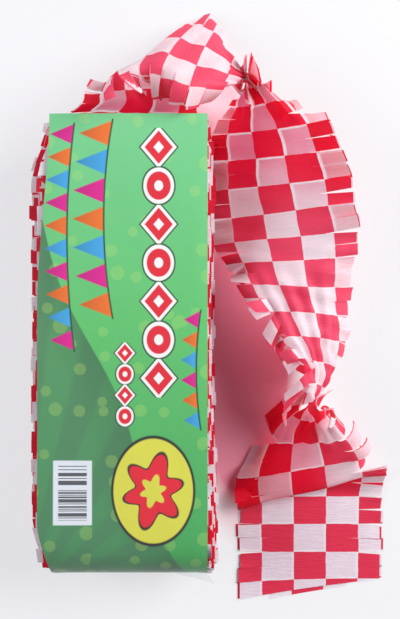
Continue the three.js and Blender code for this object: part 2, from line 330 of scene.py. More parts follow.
# route of the free end in millimetres, from the CAD solid's stations, some of them moved by up to 5.4 mm:
# near edge, middle, far edge, running number of the check there
stations = [
    ((-44, 100, 34), (0, 100, 35), (44, 100, 35), -12.1),
    ((-41, 119, 35), (0, 120, 36), (44, 120, 34), -10.9),
    ((-22, 131, 45), (10, 132, 43), (42, 135, 24), -9.6),
    ((-18, 134.5, 53), (10, 139.5, 45), (43.5, 150, 9), -9.05),
    ((-11.5, 139, 60), (10, 148, 46), (44, 166, 4), -8.4),
    ((-1, 142, 64), (12.5, 156, 45), (43.5, 181, 2.5), -7.8),
    ((9, 142, 66), (17, 162, 43), (43, 192, 2), -7.1),
    ((17.5, 139, 66), (25, 165.5, 42), (45, 198, 2), -6.35),
    ((26.5, 135, 65), (35, 163, 42), (50, 198, 2), -5.6),
    ((37, 131.5, 62), (44, 160.5, 40), (56, 193, 3), -5),
    ((47, 132.5, 55), (52.5, 157.5, 37), (61, 184, 6), -4.45),
    ((57.5, 135, 43), (60.5, 154, 34), (66, 170, 14), -3.95),
    ((65.5, 141.5, 34), (67.0, 152, 31), (69.5, 158, 25), -3.4),
    ((70, 148, 25), (71.5, 150.5, 31), (73, 153, 36.5), -2.8),
    ((61.5, 144.0, 15), (74, 143.5, 31), (83.0, 145.5, 44), -1.8),
    ((57, 139, 11), (76.5, 135.5, 29), (95.5, 135.5, 47), -0.95),
    ((51.5, 127, 7), (80, 124.5, 26), (110.5, 125, 47), -0.15),
    ((50, 109.5, 5), (83.5, 108, 25), (119, 108, 46), 0.95),
    ((49.5, 90, 4), (86, 90.5, 25), (125, 91.5, 46), 2.05),
    ((50, 73.5, 5), (89, 75.5, 26), (126, 78.5, 46), 3),
    ((51.5, 58.5, 9), (91.5, 60.5, 30), (129, 63.5, 45), 4),
    ((57, 47.5, 17), (93, 46.5, 36), (130.5, 49, 40), 5.05),
    ((64, 34.5, 27), (95.5, 33, 39), (132, 31.5, 28), 6),
    ((72.5, 18.5, 33), (101, 18.5, 37), (133, 15, 17), 7),
    ((82, 3, 39), (106, 4, 36), (134.5, -2.5, 8), 8.05),
    ((92.5, -10, 46), (111, -10, 33), (130, -19.5, 3), 9.05),
    ((99, -20, 53), (110, -22.5, 31), (123, -30, 2), 10),
    ((103, -28, 57), (107, -33, 30), (113, -37, 2), 11),
    ((112, -37.5, 52), (105.5, -41.5, 26), (98, -41, 3), 11.8),
    ((124, -44.5, 42), (104.5, -50.5, 22), (84, -49, 4), 12.5),
    ((138.5, -54, 29), (105, -60, 18), (73.5, -63, 3), 13.15),
    ((148.5, -64, 17), (106, -72, 15), (65.5, -80, 6), 13.9),
    ((154.5, -75, 7), (108.5, -88, 8.5), (66, -97.5, 8.5), 14.8),
    ((154.5, -82.5, 3.5), (109.5, -80.5, 4.8), (66, -88.5, 4.8), 15.3),
    ((153.5, -90, 1.2), (109.5, -89, 1.4), (66.5, -91.5, 1.4), 15.75),
    ((152.5, -99.5, 0.7), (109.5, -99.5, 0.7), (67, -100.5, 0.7), 16.4),
    ((152, -126.5, 0.7), (109.5, -126.5, 0.7), (67.5, -126.5, 0.7), 18),
    ((151.5, -153.5, 0.7), (109.5, -154.5, 0.7), (67.5, -158, 0.7), 19.7),
]

freeEnd = {
    "firstSlit": -9.5,
    "lastSlit": 19.5,
    "slitEvery": 0.5,  # in checks
    "hiddenFlaps": 5,  # under the film, before the first slit
    "stepsPerFlap": 4,
    "stepsOverMiddle": 22,
    "stepsOverFlap": 6,
    "turned": (-8.6, 11.0),  # between these checks the strip's other side is uppermost
    "slantFrom": 19,  # the end is cut on a slant
    "slant": (0.10, 1.05),
    "pleats": 7,
    "pleatWidths": (0.044, 0.084),  # full where the strip is gathered to the first, gone at the second
    "pleatPhase": (0.7, 1.7, 0.3),
    "pleatBend": (0.8, 7),
    "lowPleats": (4, 0.55),  # before this check they are lower, by this share
    "ripples": ((0.0006, 3.1, 5.0), (0.0004, 7.3, -9.0)),  # height, then how often along and across
    "liesFlat": (15.5, 16.5),
    "gap": 0.0007,  # between the plies
    "lowFirst": 0.0011,
    "lowSecond": 0.0004,
    "endRows": (18.4, 18.8, 19.05, 19.3, 19.62),  # of the second ply
    "endShift": (-0.0006, -0.0016, 0.0),
    "air": (0.12, 0.88, 0.0012, 0.008),  # how open at the table, how much more above, between which heights
    "paler": (0.9, 0.4, 0.8),  # how far the ply behind is hidden, so whites show paler: for plies apart, which is partly a painted highlight, for flaps, and where along a flap it is full
}

# where the plies hang apart, and where the red is painted paler as a highlight for parts in full light: check
# at which it starts, is full, starts to end, has ended, and how much
apartAndLitParts = {
    "turn": (-9.6, -8.2, -4.4, -2.2, 1.0),
    "fan": (12.0, 12.8, 14.9, 15.3, 0.8),
    "fanAcross": (0.20, 0.55),
    "middle": (0.6, 3.8, 10.2, 12.0),
    "middleSlant": 1.4,
    "tail": (15.3, 16.2, 0.3),
}

# numbers that all flaps share
flapHabits = {
    "roll": (0.02, 0.012),  # spread: least, and for each degree of the lift's spread
    "curlSpread": 0.3,
    "lengthSpread": 0.03,
    "narrowing": (0.02, 0.015),  # towards the tip: least and spread
    "crumpled": 0.2,  # in checks from a pinch, fully crumpled
    "clings": 2,  # steps from the root where the second ply holds to the first, up to the first printed line
    "fall": (0.3, 1.0),  # least and most of the share that it falls away
    "aside": (0.01, 0.5),  # how far it leans aside: least, and for each part of the lean's spread
    "asideForFall": (0.02, 6),  # more for each degree of fall past this many
    "longer": (0.02, 0.05),  # than the first ply: everywhere, and more in the tail
}

# how the flaps of an edge hang, from check to check: mean lift and its spread in degrees,
# mean lean along the strip and its spread, curl in radians, how far the second ply falls away in degrees
flapMoods = {
    "near": [
        (-20, -9.6, 0, 2, 0.0, 0.03, 0.0, 1),
        (-9.6, -8.2, -5, 10, 0.0, 0.10, -0.4, 8),
        (-8.2, -5.8, -16, 8, 0.0, 0.08, -1.2, 8),
        (-5.8, -4.1, -18, 8, 0.0, 0.08, -1.0, 8),
        (-4.1, -3.1, -40, 6, 0.0, 0.05, -2.6, 6),
        (-3.1, -2.2, -100, 6, 0.3, 0.05, -1.6, 6),
        (-2.2, -0.6, -4, 5, 0.0, 0.05, -0.2, 3),
        (-0.6, 4.3, 0.5, 1.0, 0.0, 0.014, 0.0, 1),
        (4.3, 5.2, -8, 8, 0.1, 0.14, -0.4, 14),
        (5.2, 6.4, 14, 16, 0.10, 0.24, -0.4, 20),
        (6.4, 9.4, 16, 14, 0.10, 0.20, -0.6, 20),
        (9.4, 10.2, -36, 14, 0.1, 0.22, -1.0, 20),
        (10.2, 12.4, -62, 12, 0.0, 0.15, -1.9, 12),
        (12.4, 14.6, 12, 4, 0.0, 0.05, -2.7, 6),
        (14.6, 16, 4, 4, 0.0, 0.06, -0.1, 3),
        (16, 30, 1.2, 1.0, 0.0, 0.030, 0.0, 0),
    ],
    "far": [
        (-20, -9, 0, 2, 0.0, 0.03, 0.0, 1),
        (-9, -4.1, 0, 2.5, 0.0, 0.03, -0.1, 2),
        (-4.1, -3.6, -48, 8, 0.3, 0.10, -2.2, 10),
        (-3.6, -1.6, -44, 8, 0.35, 0.10, -1.8, 10),
        (-1.6, -0.6, -74, 6, 0.2, 0.10, -1.2, 8),
        (-0.6, -0.1, -20, 3, 0.45, 0.05, -0.7, 6),
        (-0.1, 5, -2, 3, 0.0, 0.03, -0.1, 3),
        (5, 8.4, -8, 5, 0.0, 0.05, -0.2, 4),
        (8.4, 11.8, -52, 12, 0.0, 0.14, -1.9, 12),
        (11.8, 12.8, 2, 10, -0.7, 0.20, -0.2, 10),
        (12.8, 13.8, -4, 8, 0.28, 0.12, -0.5, 10),
        (13.8, 15, 0, 6, -0.05, 0.09, -0.1, 5),
        (15, 16.2, 3, 5, 0.0, 0.08, 0.0, 3),
        (16.2, 30, 1.2, 1.0, 0.0, 0.035, 0.0, 0),
    ],
}

# where the strip is pinched, the flaps crumple and show less of their length:
# edge, check, reach in checks, share lost
crumples = [
    ("far", -2.9, 2.9, 0.90),
    ("near", -2.9, 1.2, 0.86),
    ("near", 11.0, 1.3, 0.45),
    ("far", 11.0, 1.3, 0.45),
]


def smoothValue(before, start, end, after, t):
    return 0.5 * (
        2 * start
        + (end - before) * t
        + (2 * before - 5 * start + 4 * end - after) * t * t
        + (3 * start - before - 3 * end + after) * t * t * t
    )


stationData = np.array([[*near, *middle, *far, check] for near, middle, far, check in stations], dtype=float)
stationData[:, :9] *= 0.001


def routeAt(check):
    # near edge, middle and far edge in one row of nine, smoothly between the stations
    checks = stationData[:, 9]
    segment = int(np.clip(np.searchsorted(checks, check, side="right") - 1, 0, len(checks) - 2))
    rows = neighbours(stationData, segment)
    low, high = 0.0, 1.0
    for _ in range(18):
        t = (low + high) / 2
        if smoothValue(*[row[9] for row in rows], t) < check:
            low = t
        else:
            high = t
    return smoothValue(*[row[:9] for row in rows], (low + high) / 2)


def cutCheck(check, across):
    start, (least, more) = freeEnd["slantFrom"], freeEnd["slant"]
    return check if check < start else start + (check - start) * (least + more * across)


def sheetPoint(check, across):
    # plain surface, without pleats: across is an array from 0 to 1
    a = across[:, None]
    at = routeAt(check)[None, :]
    if check > freeEnd["slantFrom"]:
        at = np.array([routeAt(cutCheck(check, share)) for share in across])
    near, middle, far = at[:, 0:3], at[:, 3:6], at[:, 6:9]
    return near * (1 - a) * (1 - 2 * a) + middle * 4 * a * (1 - a) + far * a * (2 * a - 1)


def pleatHeight(check, across, width):
    spare = crepe["width"] / (2 * freeEnd["pleats"])
    narrow = min(width / crepe["width"], 1.0)
    tall = 0.5 * spare * math.sqrt(1 - narrow * narrow) * (1 - ease(width, *freeEnd["pleatWidths"]))
    swing, often, onward = freeEnd["pleatPhase"]
    bend, bends = freeEnd["pleatBend"]
    phase = swing * math.sin(check * often) + onward * check
    wave = np.sin(2 * math.pi * freeEnd["pleats"] * across + phase + bend * np.sin(bends * across + check))
    lowBefore, low = freeEnd["lowPleats"]
    return tall * wave * (low if check < lowBefore else 1.0)


def sheetRow(check, across):
    # points, normals, and the directions along and over, of one line over the strip
    stepAlong, stepOver = 0.02, 0.01
    here = sheetPoint(check, across)
    along = sheetPoint(check + stepAlong, across) - sheetPoint(check - stepAlong, across)
    over = sheetPoint(check, across + stepOver) - sheetPoint(check, across - stepOver)
    normal = unit(np.cross(along, over))
    run = float(np.linalg.norm(np.diff(here, axis=0), axis=1).sum())
    width = run / max(float(across[-1] - across[0]), 1e-6)
    soft = sum(tall * np.sin(check * often + across * aside) for tall, often, aside in freeEnd["ripples"])
    lift = pleatHeight(check, across, width) + soft * (1 - ease(check, *freeEnd["liesFlat"]))
    return here + normal * lift[:, None], normal, unit(along), unit(over)


def moodOf(check, edge):
    return next(mood[2:] for mood in flapMoods[edge] if mood[0] <= check < mood[1])


def between(value, start, full, ending, ended):
    return ease(value, start, full) * (1 - ease(value, ending, ended))


def apartAndLitShare(check, across):
    # 0 where the two plies cling together, 1 where they hang apart; the same share paints the red paler, as a
    # painted highlight
    start, full, ending, ended = apartAndLitParts["middle"]
    slanted = check + apartAndLitParts["middleSlant"] * (0.5 - across)
    late = ease(slanted, start, full) * (1 - ease(check, ending, ended))
    *places, most = apartAndLitParts["turn"]
    turn = most * between(check, *places)
    *places, most = apartAndLitParts["fan"]
    fan = most * between(check, *places) * (1 - ease(across, *apartAndLitParts["fanAcross"]))
    start, full, most = apartAndLitParts["tail"]
    return max(late, turn, most * ease(check, start, full), fan)


def facesCamera(check):
    # which side of the strip is uppermost: 1 the side that the normals leave from
    first, last = freeEnd["turned"]
    return 1.0 if first < check < last else -1.0


def buildPly(name, material, seed, second):
    # one ply of the free end. The second ply is only its fringe and its slanted end, since the rest lies flat
    # behind the first.
    draw = random.Random(seed)
    fringe = crepe["fringe"] / crepe["width"]
    points, strip, air, plies, faces, numbers = [], [], [], [], [], {}
    lowest = freeEnd["lowSecond"] if second else freeEnd["lowFirst"]

    def vertex(key, point, check, across, share=0.0):
        if key not in numbers:
            numbers[key] = len(points)
            points.append((point[0], point[1], max(point[2], lowest)))
            u = (across * crepe["width"] - crepe["firstLine"]) / crepe["checkWidth"] + 1
            strip.append((u, cutCheck(check, across)))
            least, more, low, high = freeEnd["air"]
            air.append((least + more * ease(point[2], low, high), 0.0))
            apart = apartAndLitShare(check, across)
            forApart, forFlap, flapFull = freeEnd["paler"]
            plies.append((max(forApart * apart, forFlap * ease(share, 0.0, flapFull)), apart))
        return numbers[key]

    pitch = freeEnd["slitEvery"]
    steps = freeEnd["stepsPerFlap"]
    hidden = freeEnd["hiddenFlaps"]
    count = int(round((freeEnd["lastSlit"] - freeEnd["firstSlit"]) / pitch))
    middle = np.linspace(fringe, 1 - fringe, freeEnd["stepsOverMiddle"] + 1)
    rows = []
    if second:
        # its slanted end shows a little beyond the first ply's
        for check in freeEnd["endRows"]:
            row = sheetRow(check, middle)[0] + np.array(freeEnd["endShift"])
            row[:, 2] = 0.0
            rows.append([
                vertex(("end%d" % k, check), row[k], check, across) for k, across in enumerate(middle)
            ])
    else:
        names = ["near"] + ["in%d" % k for k in range(1, len(middle) - 1)] + ["far"]
        for i in range(-hidden * steps, count * steps + 1):
            check = freeEnd["firstSlit"] + pitch * i / steps
            row = sheetRow(check, middle)[0]
            rows.append([
                vertex((names[k], round(check, 4)), row[k], check, across) for k, across in enumerate(middle)
            ])
    addCells(faces, rows)

    shares = np.linspace(0, 1, freeEnd["stepsOverFlap"] + 1)
    for index in range(-hidden, count):
        start = freeEnd["firstSlit"] + pitch * index
        halfWay = start + pitch / 2
        for edge in ("near", "far"):
            lift, spread, meanLean, skew, curl, fall = moodOf(halfWay, edge)
            # both plies draw the same numbers, so that the second stays behind the first
            angle = math.radians(draw.gauss(lift, spread))
            lean = draw.gauss(meanLean, skew)
            roll = draw.gauss(0, flapHabits["roll"][0] + flapHabits["roll"][1] * spread)
            bend = curl * abs(draw.gauss(1, flapHabits["curlSpread"])) / crepe["fringe"]
            longer = 1 + draw.gauss(0, flapHabits["lengthSpread"])
            for where, at, reachChecks, lost in crumples:
                if where == edge:
                    longer *= 1 - lost * (1 - ease(abs(halfWay - at), flapHabits["crumpled"], reachChecks))
            shrink = flapHabits["narrowing"][0] + abs(draw.gauss(0, flapHabits["narrowing"][1]))
            fallShare, aside = draw.uniform(*flapHabits["fall"]), draw.gauss(0, 1)
            droop = 0.0
            if second:
                droop = math.radians(fall * fallShare)
                leastAside, moreAside = flapHabits["aside"]
                forFall, fallFrom = flapHabits["asideForFall"]
                lean += (leastAside + skew * moreAside) * aside + forFall * max(fall - fallFrom, 0)
                everywhere, inTail = flapHabits["longer"]
                longer += everywhere + inTail * ease(start, *freeEnd["liesFlat"])
            side = facesCamera(halfWay)
            root, tip = (fringe, 0.0) if edge == "near" else (1 - fringe, 1.0)
            across = root + (tip - root) * shares
            stride = crepe["fringe"] * longer / freeEnd["stepsOverFlap"]
            # the flap's own arc: how far out and how far up at each share
            reach, rise = [0.0], [0.0]
            for k in range(freeEnd["stepsOverFlap"]):
                turned = angle + bend * (k + 0.5) * stride - (droop if k >= flapHabits["clings"] else 0)
                reach.append(reach[-1] + math.cos(turned) * stride)
                rise.append(rise[-1] + math.sin(turned) * stride)
            rows = []
            for j in range(steps + 1):
                t = j / steps
                check = start + pitch * t
                row, normal, along, over = sheetRow(check, across)
                out = over[0] if edge == "far" else -over[0]
                up = normal[0] * side
                ids = []
                for k, share in enumerate(shares):
                    if second and k < flapHabits["clings"]:
                        continue
                    distance = share * crepe["fringe"]
                    shift = lean * distance + (0.5 - t) * shrink * distance
                    twist = (t - 0.5) * roll * distance
                    point = row[k] + up * (rise[k] + twist) + out * (reach[k] - distance) + along[0] * shift
                    if second:
                        point = point - up * freeEnd["gap"] * (0.5 + share)
                    shared = share == 0 and not second
                    key = (edge, round(check, 4)) if shared else (edge, index, j, k)
                    ids.append(vertex(key, point, check, across[k], share))
                rows.append(ids)
            addCells(faces, rows, edge == "near")
    return makePiece(name, points, faces, {"strip": strip, "air": air, "plies": plies}, material)


upperPly = buildPly("crepe_free_end", crepePaired, 11, False)
underPly = buildPly("crepe_free_end_second_ply", crepeSecond, 11, True)
print("free end made")

# folded stack: the rest of the strip, laid to and fro
stack = {
    "layers": 92,
    "bottom": 0.0009,
    "top": 0.0435,
    "lowest": 0.0006,
    "halfLength": 0.1255,
    "firstCheck": 0.3,
    "bundle": 6,  # layers that drift to one side together
    "drift": (0.0068, 0.3, 0.0006),  # most to a side, share of the way with each layer, jitter
    # how much shorter at the near end, between which shares of the height
    "topTrim": (0.0105, 0.72, 1.0),
    "footTrim": (0.006, 0.0, 0.16),
    "farTrim": 0.0022,
    "endJitter": (0.0006, 0.0010),  # near, far
    "bulge": (0.0009, 0.0005, 0.0003),  # of a fold: mean, spread and least
    "foldTurns": (0.2, 0.5, 0.8),
    "foldChecks": (0.06, 0.08),  # print on the fold, and up to the next layer
    "slitMargin": 0.1,  # no slit nearer to a fold, in checks
    "looseFrom": (0.86, 1.0),  # share of the height over which the flaps come to lie loose
    "flapLean": 0.0007,
    "flapSag": (0.00022, -0.0022, 0.0002),  # spread, and from and to where loose
    "flapLonger": (0.0004, 0.0008),
    "flapRoll": (0.0002, 0.0006),  # spread, and more where loose
    "flapNarrowing": 0.00035,
    "flapShares": (0.55, 1.0),
    # towards the folded film the right flaps stand out and the left ones lie in:
    # by how much, between which places
    "rightOut": (0.0024, -0.115, 0.0),
    "leftInNear": (0.0050, -0.123, -0.100),
    "leftInFar": (0.0085, 0.092, 0.126),
    "air": 0.25,
}


def buildStack():
    draw = random.Random(5)
    points, maps, air, faces = [], [], [], []
    layers = stack["layers"]
    rise = (stack["top"] - stack["bottom"]) / (layers - 1)
    check = stack["firstCheck"]
    # path of the strip's middle line: y, z, check, slit or not, layer
    path = []
    shiftNow, shiftAim = 0.0, 0.0
    shifts = []
    most, pull, jitter = stack["drift"]
    for layer in range(layers):
        if layer % stack["bundle"] == 0:
            shiftAim = draw.uniform(-most, most)
        shiftNow += (shiftAim - shiftNow) * pull + draw.gauss(0, jitter)
        shifts.append(shiftNow)
        z = stack["bottom"] + rise * layer
        share = layer / (layers - 1)
        # the near end of the stack is rounder where the film bends over it
        topTrim, *topSpan = stack["topTrim"]
        footTrim, *footSpan = stack["footTrim"]
        nearTrim = topTrim * ease(share, *topSpan) + footTrim * (1 - ease(share, *footSpan))
        near = -stack["halfLength"] + nearTrim + draw.gauss(0, stack["endJitter"][0])
        far = stack["halfLength"] - stack["farTrim"] + draw.gauss(0, stack["endJitter"][1])
        direction = 1 if layer % 2 == 0 else -1
        begin, end = (near, far) if direction > 0 else (far, near)
        lastCheck = check + abs(end - begin) / crepe["checkLength"]
        path.append((begin, z, check, False, layer))
        margin = stack["slitMargin"]
        nextSlit = math.ceil(check * 2 + margin * 2) / 2
        while nextSlit < lastCheck - margin:
            y = begin + direction * (nextSlit - check) * crepe["checkLength"]
            path.append((y, z, nextSlit, True, layer))
            nextSlit += 0.5
        path.append((end, z, lastCheck, False, layer))
        onFold, toNext = stack["foldChecks"]
        if layer < layers - 1:
            mean, spread, least = stack["bulge"]
            bulge = abs(draw.gauss(mean, spread)) + least
            for turn in stack["foldTurns"]:
                y = end + direction * bulge * math.sin(turn * math.pi)
                path.append((y, z + rise * turn, lastCheck + onFold * turn, False, layer + turn))
        check = lastCheck + toNext

    half = crepe["width"] / 2
    rootX = half - crepe["fringe"]

    def addPoint(x, y, z, u, v):
        points.append((x, y, z))
        maps.append(((u + half - crepe["firstLine"]) / crepe["checkWidth"], v))
        air.append((stack["air"], 0.0))
        return len(points) - 1

    def shiftAt(layer):
        low = int(math.floor(layer))
        high = min(low + 1, layers - 1)
        return shifts[low] + (shifts[high] - shifts[low]) * (layer - low)

    def standsOut(side, y):
        if side > 0:
            out, start, end = stack["rightOut"]
            return out * (1 - ease(y, start, end))
        inNear, start, end = stack["leftInNear"]
        inFar, *farSpan = stack["leftInFar"]
        return -inNear * (1 - ease(y, start, end)) - inFar * ease(y, *farSpan)

    roots = []
    for y, z, v, _, layer in path:
        shift = shiftAt(layer)
        roots.append([addPoint(shift + x, y, z, x, v) for x in (-rootX, 0.0, rootX)])
    addCells(faces, roots)

    # flaps run from slit to slit, round the folds as well
    cuts = [0] + [i for i, place in enumerate(path) if place[3]] + [len(path) - 1]
    for start, end in zip(cuts, cuts[1:]):
        loose = ease(path[start][4] / (layers - 1), *stack["looseFrom"])
        for side in (-1, 1):
            lean = draw.gauss(0, stack["flapLean"])
            spread, lowest, highest = stack["flapSag"]
            sag = draw.gauss(0, spread) + loose * draw.uniform(lowest, highest)
            extra = draw.gauss(*stack["flapLonger"])
            roll = draw.gauss(0, stack["flapRoll"][0] + stack["flapRoll"][1] * loose)
            rows = []
            for i in range(start, end + 1):
                y, z, v, _, layer = path[i]
                t = (i - start) / (end - start)
                forward = 1 if int(layer) % 2 == 0 else -1
                pinch = (0.5 - t) * 2 * stack["flapNarrowing"] * forward
                ids = [roots[i][0] if side < 0 else roots[i][2]]
                for share in stack["flapShares"]:
                    length = crepe["fringe"] + extra + standsOut(side, y)
                    x = shiftAt(layer) + side * (rootX + share * length)
                    tipZ = max(z + (sag + roll * (t - 0.5)) * share * share, stack["lowest"])
                    u = side * (rootX + share * crepe["fringe"])
                    ids.append(addPoint(x, y + (lean + pinch) * share, tipZ, u, v))
                rows.append(ids)
            addCells(faces, rows, side < 0)
    return makePiece("crepe_folded_stack", points, faces, {"strip": maps, "air": air}, crepeFolded)


foldedStack = buildStack()
print("stack made")

wrapper = {
    "width": 0.093,
    "frontZ": 0.04535,
    "backZ": 0.00015,
    "mouthY": 0.127,
    "endY": -0.127,
    "backMouthY": 0.118,
    "columns": 28,
    "stepLength": 0.005,
    "rounded": range(5, 14),  # stretches of the profile that bend over the near end
    "aside": 0.0011,
    "faceAbove": 0.03,  # what lies higher is the front
    "printedDownTo": 0.021,
    "bendLength": 0.012,
    # how far the left edge lies in: on the front by how much, between which shares of its length
    "insetMouth": (0.0066, 0.0, 0.42),
    "insetEnd": (0.0060, 0.88, 1.0),
    "insetBend": 0.0062,
    "insetBack": 0.001,
    "edgeSag": (0.86, 0.0004),  # from this share of the half width, how low
    "pucker": 0.00025,
    "corner": (
        (0.0270, -0.0018, 0.0278), (0.0460, -0.0012, 0.0285),
        (0.0520, -0.0092, 0.0270), (0.0345, -0.0048, 0.0268),
    ),
    "cornerSteps": 10,
    "cornerWave": 0.0007,
    "waves": (0.02, 0.012, 0.0, 3.0, 2.0),
    "creases": (0.05, 0.16, 2.0, 1.0, 2.0),
    "creaseHeight": 0.3,
    "bump": (0.25, 0.002),
    "roughness": (0.36, 0.1),  # level, and how far the waves swing it
    "coat": (0.12, 0.26),  # weight and roughness
    "clearWaves": (0.06, 0.06, 4.0, 2.0, 3.0),
    "clearBump": (0.5, 0.0015),
    "clearTints": (tint(226, 228, 234), tint(244, 245, 248)),
    "clearRoughness": 0.16,
    "clearCoat": 0.5,
    "clearColour": (0.95, 0.96, 0.97, 1),
    "clearEdge": 0.35,
    "clearShine": (0.14, 0.5, 0.2),  # level, more at the edges, and how far the waves swing it
}

# the printed face, in millimetres: x over the label, y along it
label = {
    "top": 127.0,
    "length": 254.0,
    "smooth": 0.55,  # how soft an outline is
    "lightGreen": tint(120, 208, 146),
    "midGreen": tint(98, 194, 112),
    "lowGreen": tint(66, 160, 88),
    "darkGreen": tint(76, 120, 92),
    "rimGreen": tint(40, 84, 56),
    "spotGreen": tint(190, 230, 120),
    "outline": tint(24, 74, 46),
    "red": tint(226, 42, 60),
    "white": tint(250, 250, 250),
    "orange": tint(240, 120, 52),
    "magenta": tint(226, 40, 150),
    "blue": tint(72, 170, 232),
    "yellow": tint(222, 220, 84),
    "ink": tint(28, 28, 34),
    "paper": tint(232, 238, 248),
    "midGreenAt": 0.45,
    "hill": (-44.0, 70.0, 0.4, 0.05, 3.5),  # left end, top, slope, then how often and how far its edge waves
    "hillEdge": 0.8,
    "hillShare": (0.64, 0.16),  # and more in a ray
    "rim": (26.0, 0.35),  # width and strength
    "rays": (-58.0, -150.0, 26.0, 1.6),  # where they meet, how many, how sharp
    "spots": (0.062, 0.1, 0.16, 0.03),  # to a millimetre, least size, how much more, softness
    "spotsKept": 0.35,
    "spotShare": 0.2,
    # line over the label, sag, pitch, height, first and last place along it, colour of the first
    "pennants": (
        (-4.0, 5.0, 15.6, 17.0, 124.0, 14.8, 0.0),
        (-25.0, 4.0, 12.5, 12.5, 122.0, -3.0, 1.0),
        (44.0, 2.5, 11.0, 8.5, 20.0, -46.0, 2.0),
    ),
    "flagHalf": 0.44,  # of the pitch
    "flagDarker": 0.35,  # towards the tip
    "cordHalf": 0.45,
    # middle, half width, pitch, first place, how many, white edge, dark edge
    "lozenges": ((21.0, 8.4, 21.0, 119.0, 7, 1.5, 1.0), (2.6, 4.6, 11.5, 2.0, 4, 1.0, 0.8)),
    "lozengeFills": ((0.92, "red"), (0.34, "white")),
    "ringSmaller": 1.18,
    "oval": (18.0, -79.0, 22.0, 29.0),  # middle and half sizes
    "ovalFills": ((1.045, "ink"), (0.985, "yellow")),
    "ovalEdge": 0.03,
    "petals": (6.0, 0.16, 0.62),  # how many, how deep, mean radius
    "petalFills": ((1.0, "ink"), (0.92, "red"), (0.42, "yellow")),
    "petalEdge": 0.05,
    "bars": (-26.0, -80.0),
    "barPaper": (10.6, 17.6),
    "barField": (7.8, 15.0),
    "barPitch": 2.1,
    "barsFrom": 200.0,
    "barShare": 0.9,
}


